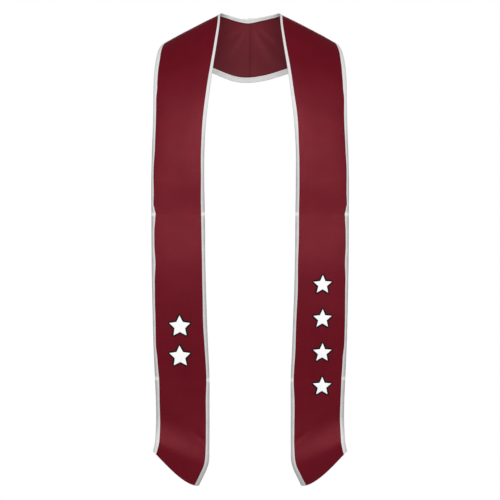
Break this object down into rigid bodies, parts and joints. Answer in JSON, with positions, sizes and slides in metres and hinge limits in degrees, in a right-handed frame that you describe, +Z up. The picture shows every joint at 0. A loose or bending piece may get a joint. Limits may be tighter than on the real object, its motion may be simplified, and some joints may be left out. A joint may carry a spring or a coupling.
{
  "type": "graduation stole",
  "caption": "Satin sash worn round the neck: long hanging fronts with slanted tips, a shallow V back with a centre seam, pale binding on both long edges and star patches.",
  "frame": {"origin": "where the stole sits on the shoulders: midway between the two neck points, the highest points of its inner edge", "axes": "+Z up, -Y towards the front, +X to the right as the front is looked at"},
  "size_m": [0.3686, 0.2187, 0.9041],
  "materials": {
    "satin": "dark maroon satin with a soft sheen",
    "binding": "off-white satin bias binding",
    "patch_black": "black satin-stitched edge",
    "patch_white": "white twill"
  },
  "bodies": {
    "root": {"left_panel": "satin", "right_panel": "satin", "left_neck_trim": "binding", "right_neck_trim": "binding", "left_outer_trim": "binding", "right_outer_trim": "binding", "left_star_1_backing": "patch_black", "left_star_2_backing": "patch_black", "right_star_1_backing": "patch_black", "right_star_2_backing": "patch_black", "right_star_3_backing": "patch_black", "right_star_4_backing": "patch_black", "left_star_1": "patch_white", "left_star_2": "patch_white", "right_star_1": "patch_white", "right_star_2": "patch_white", "right_star_3": "patch_white", "right_star_4": "patch_white"}
  },
  "joints": []
}
